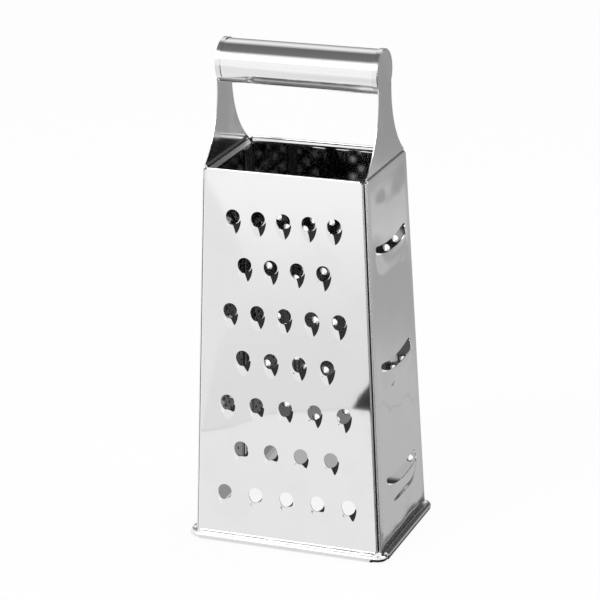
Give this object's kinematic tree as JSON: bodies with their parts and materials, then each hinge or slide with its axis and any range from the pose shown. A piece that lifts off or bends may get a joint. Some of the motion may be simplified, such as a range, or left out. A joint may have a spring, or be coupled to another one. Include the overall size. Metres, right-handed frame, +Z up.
{
  "type": "box grater",
  "caption": "Four-sided sheet-steel box grater with coarse, fine, slicing and rasp sides, lock-seamed corners, a wired base rim and a tube handle on two ears.",
  "frame": {"origin": "centre of the base's footprint, at the level it stands on", "axes": "+Z up; the coarse side faces -Y, the slicing side +X; the handle tube runs along X"},
  "size_m": [0.1016, 0.0744, 0.24],
  "materials": {
    "polished_sheet": "bright rolled and polished stainless sheet, soft mirror",
    "satin_sheet": "satin stainless sheet",
    "brushed_tube": "brushed lengthwise",
    "bright_wire": "bright drawn stainless wire"
  },
  "bodies": {
    "root": {"front_panel": "polished_sheet", "back_panel": "polished_sheet", "right_panel": "polished_sheet", "left_panel": "polished_sheet", "right_ear": "satin_sheet", "left_ear": "satin_sheet", "handle_tube": "brushed_tube", "base_wire": "bright_wire"}
  },
  "joints": []
}
